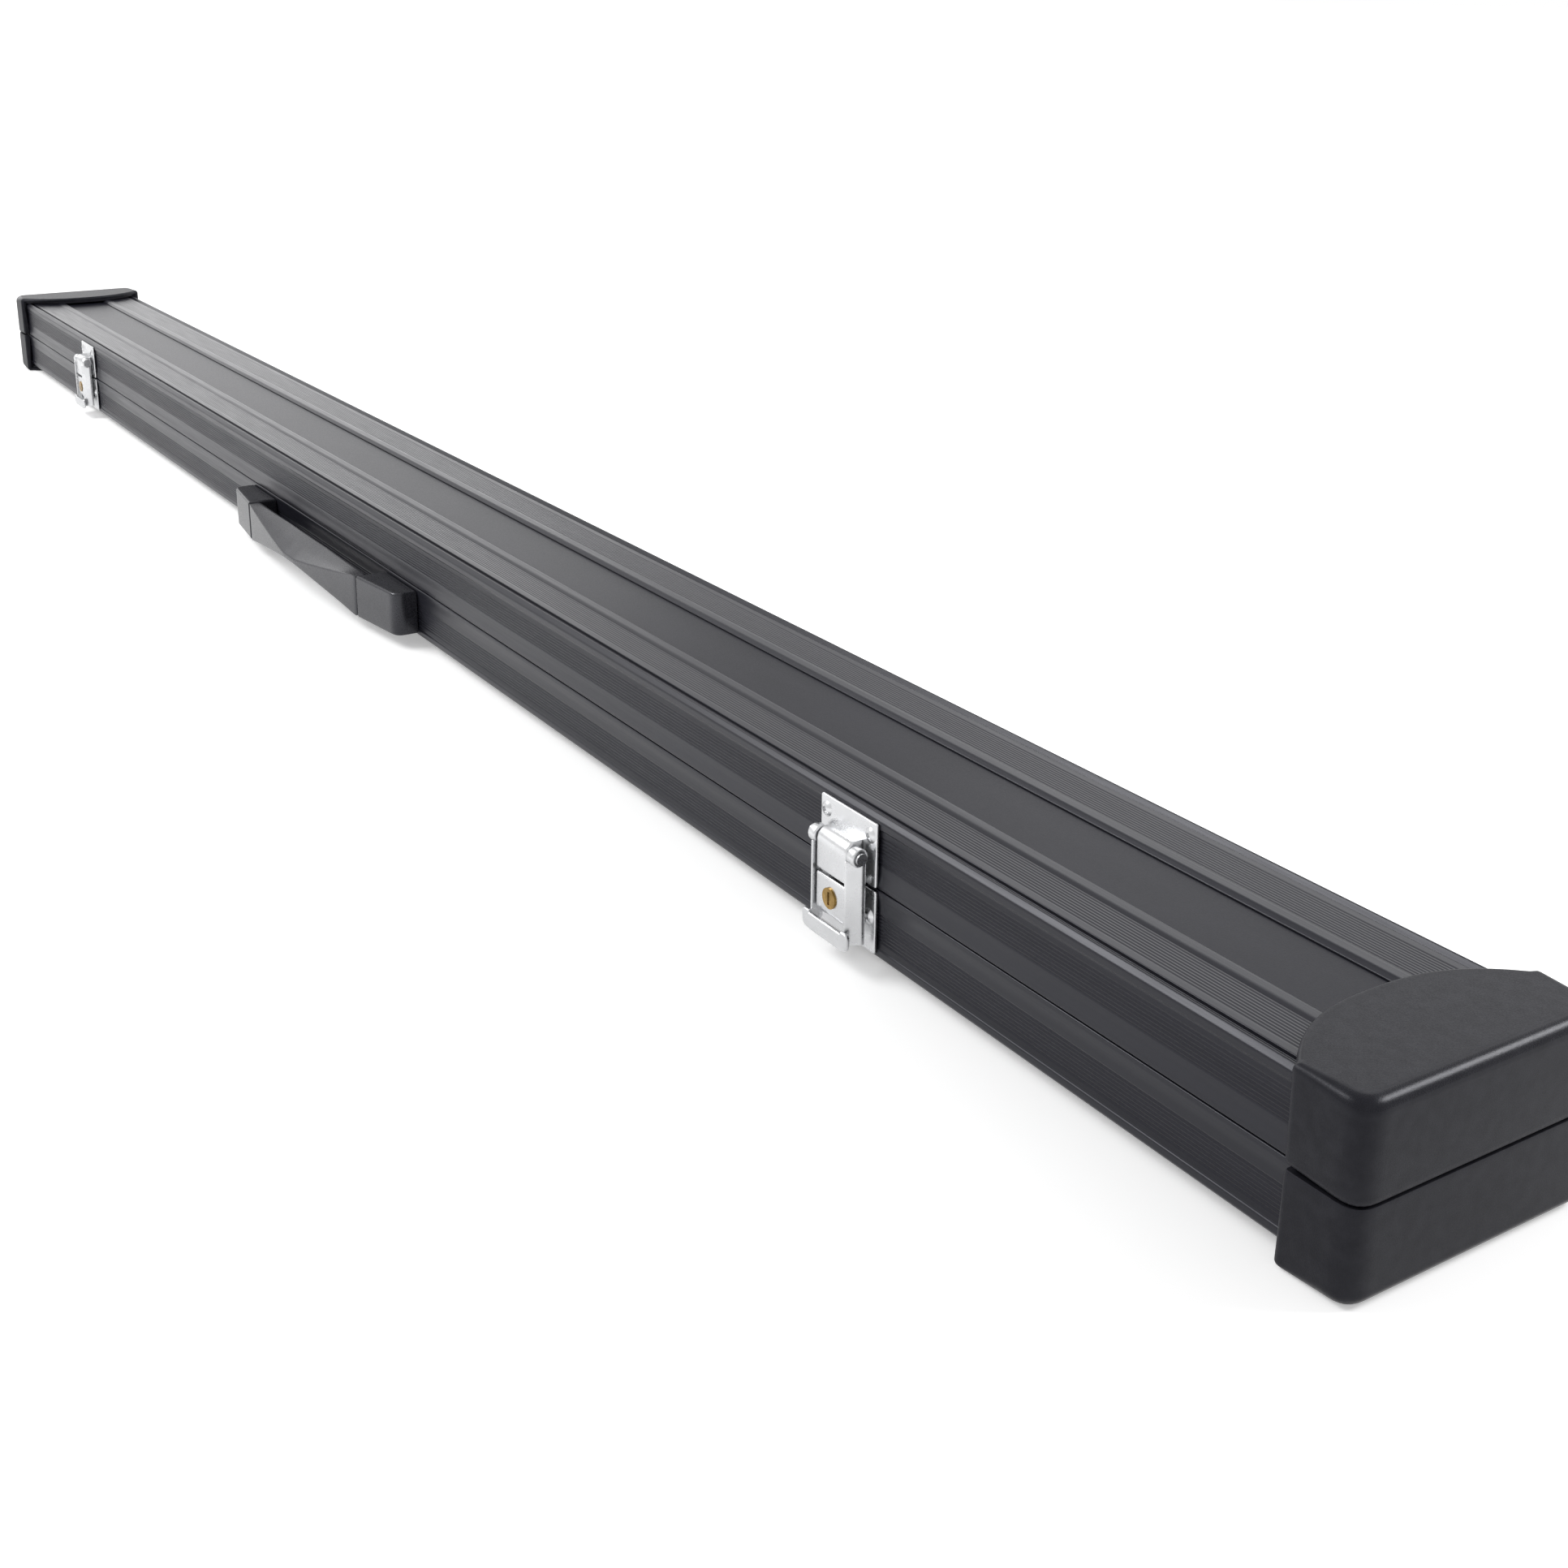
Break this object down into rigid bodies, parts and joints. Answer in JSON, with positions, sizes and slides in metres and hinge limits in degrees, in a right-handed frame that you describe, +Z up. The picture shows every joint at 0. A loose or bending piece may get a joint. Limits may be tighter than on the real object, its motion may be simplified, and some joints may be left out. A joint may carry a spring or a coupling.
{
  "type": "cue case",
  "caption": "Long hard clamshell case for a jointed cue, with ribbed black rails, end caps, draw-bail key latches, rear hinges and a folding carry handle.",
  "frame": {"origin": "under the middle of the whole object, on the plane that the end caps rest on", "axes": "+X along the case towards the near end, -Y out of the front with the latches and handle, +Z up"},
  "size_m": [1.24, 0.1001, 0.0508],
  "materials": {
    "anodised_rail": "satin",
    "satin_panel": "satin",
    "cap_plastic": "satin",
    "handle_plastic": "satin",
    "lining": "matte",
    "chrome": "polished",
    "steel": "satin",
    "brass": "polished"
  },
  "bodies": {
    "base": {"base_front_rail": "anodised_rail", "base_rear_rail": "anodised_rail", "base_panel": "satin_panel", "base_near_cap": "cap_plastic", "base_far_cap": "cap_plastic", "base_floor_lining": "lining", "base_front_lining": "lining", "base_rear_lining": "lining", "hinge_base_leaf_near": "steel", "hinge_base_leaf_middle": "steel", "hinge_base_leaf_far": "steel", "hinge_pin_near": "steel", "hinge_pin_middle": "steel", "hinge_pin_far": "steel", "hinge_base_rivets": "steel", "latch_base_plate_near": "chrome", "latch_base_plate_far": "chrome", "lock_box_near": "chrome", "lock_box_far": "chrome", "base_latch_rivets": "chrome", "handle_bracket_near": "handle_plastic", "handle_bracket_far": "handle_plastic", "handle_pins": "steel", "handle_screws": "steel"},
    "lid": {"lid_front_rail": "anodised_rail", "lid_rear_rail": "anodised_rail", "lid_panel": "satin_panel", "lid_near_cap": "cap_plastic", "lid_far_cap": "cap_plastic", "lid_lining": "lining", "hinge_lid_leaf_near": "steel", "hinge_lid_leaf_middle": "steel", "hinge_lid_leaf_far": "steel", "hinge_lid_rivets": "steel", "latch_lid_plate_near": "chrome", "latch_lid_plate_far": "chrome", "latch_flap_box_near": "chrome", "latch_flap_box_far": "chrome", "bail_pin_near": "chrome", "bail_pin_far": "chrome", "lid_latch_rivets": "chrome"},
    "bail_near": {"bail_ring_near": "chrome"},
    "bail_far": {"bail_ring_far": "chrome"},
    "key_near": {"key_barrel_near": "brass", "lock_cam_near": "steel"},
    "key_far": {"key_barrel_far": "brass", "lock_cam_far": "steel"},
    "handle": {"handle_grip": "handle_plastic"}
  },
  "joints": [
    {"name": "lid_hinge", "type": "hinge", "parent": "base", "child": "lid", "pos_m": [0, 0.04705, 0.0254], "axis": [-1, 0, 0], "range_deg": [0, 105]},
    {"name": "bail_swing_near", "type": "hinge", "parent": "lid", "child": "bail_near", "pos_m": [0.428, -0.03515, 0.035], "axis": [-1, 0, 0], "range_deg": [0, 115]},
    {"name": "key_turn_near", "type": "hinge", "parent": "base", "child": "key_near", "pos_m": [0.428, -0.03055, 0.0188], "axis": [0, -1, 0], "range_deg": [0, 90]},
    {"name": "bail_swing_far", "type": "hinge", "parent": "lid", "child": "bail_far", "pos_m": [-0.428, -0.03515, 0.035], "axis": [-1, 0, 0], "range_deg": [0, 115]},
    {"name": "key_turn_far", "type": "hinge", "parent": "base", "child": "key_far", "pos_m": [-0.428, -0.03055, 0.0188], "axis": [0, 1, 0], "range_deg": [0, 90]},
    {"name": "handle_swing", "type": "hinge", "parent": "base", "child": "handle", "pos_m": [0, -0.04055, 0.0146], "axis": [-1, 0, 0], "range_deg": [-80, 80]}
  ]
}
